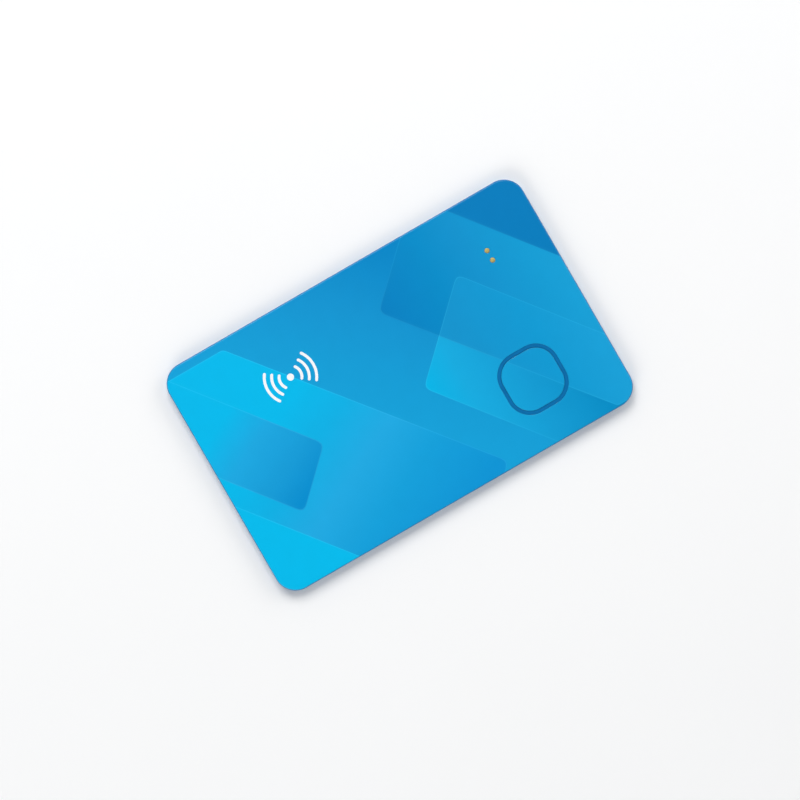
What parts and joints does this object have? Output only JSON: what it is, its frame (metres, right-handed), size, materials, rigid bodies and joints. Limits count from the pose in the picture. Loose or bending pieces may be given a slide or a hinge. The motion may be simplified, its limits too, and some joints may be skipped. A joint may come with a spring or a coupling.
{
  "type": "bluetooth tracker tag",
  "caption": "Thin card-format tracker with rounded corners, a ringed push button and flush charging contacts, holding a pouch cell, circuit board and sounder sealed inside.",
  "frame": {"origin": "centre of the card's outline, on the back face that it lies on", "axes": "+X along the card's long side, towards the button; +Y along its short side, towards the printed mark's edge; +Z out of the front face"},
  "size_m": [0.0856, 0.054, 0.0026],
  "materials": {
    "front_shell": "blue plastic with a printed pattern of overlapping panels, satin clear coat",
    "rear_shell": "blue plastic, fine matte texture",
    "button_plastic": "blue plastic, the front cover's print runs across it",
    "ring_rubber": "dark blue soft elastomer, satin",
    "white_ink": "opaque white ink",
    "clear_adhesive": "cured clear adhesive",
    "gold_plate": "gold plated, satin",
    "spring_alloy": "gold plated beryllium copper",
    "black_rubber": "soft sealing rubber",
    "dome_steel": "stainless spring steel",
    "dome_film": "amber polyimide film",
    "board_green": "green solder mask over fibreglass",
    "pad_gold": "immersion gold",
    "copper_trace": "copper under solder mask",
    "chip_black": "moulded epoxy",
    "sensor_black": "moulded epoxy",
    "can_metal": "plated metal lid",
    "ferrite": "sintered ferrite",
    "capacitor_ceramic": "brown ceramic",
    "resistor_black": "black glaze",
    "tin_plate": "matte tin",
    "solder": "reflowed solder",
    "pouch_foil": "laminated aluminium foil, satin",
    "white_tape": "white tissue tape",
    "grey_foam": "open cell foam",
    "nickel": "nickel strip",
    "red_wire": "red insulation",
    "black_wire": "black insulation",
    "brass_plate": "rolled brass",
    "piezo_ceramic": "fired ceramic",
    "silver_print": "printed silver"
  },
  "bodies": {
    "case": {"rear_cover": "rear_shell", "front_cover": "front_shell", "perimeter_adhesive": "clear_adhesive", "face_mark": "white_ink", "button_ring": "ring_rubber", "snap_dome": "dome_steel", "dome_film": "dome_film", "charging_contacts": "gold_plate", "contact_seals": "black_rubber", "contact_springs": "spring_alloy", "circuit_board": "board_green", "solder_pads": "pad_gold", "trace_antenna": "copper_trace", "radio_chip": "chip_black", "radio_crystal": "can_metal", "clock_crystal": "can_metal", "motion_sensor": "sensor_black", "charge_controller": "chip_black", "sounder_driver": "chip_black", "boost_inductor": "ferrite", "chip_capacitors": "capacitor_ceramic", "chip_resistors": "resistor_black", "chip_terminals": "tin_plate", "solder_joints": "solder", "battery_pouch": "pouch_foil", "battery_adhesive": "white_tape", "battery_foam": "grey_foam", "battery_tabs": "nickel", "protection_board": "board_green", "protection_chips": "chip_black", "battery_lead_plus": "red_wire", "battery_lead_minus": "black_wire", "sounder_plate": "brass_plate", "sounder_ceramic": "piezo_ceramic", "sounder_electrode": "silver_print", "sounder_adhesive": "white_tape", "sounder_lead_signal": "red_wire", "sounder_lead_ground": "black_wire"},
    "button": {"button_pad": "button_plastic"}
  },
  "joints": [
    {"name": "button_press", "type": "slide", "parent": "case", "child": "button", "axis": [0, 0, -1], "range_m": [0, 0.0002], "stiffness_N_per_m": 8000, "deforming": ["snap_dome", "dome_film"]}
  ]
}
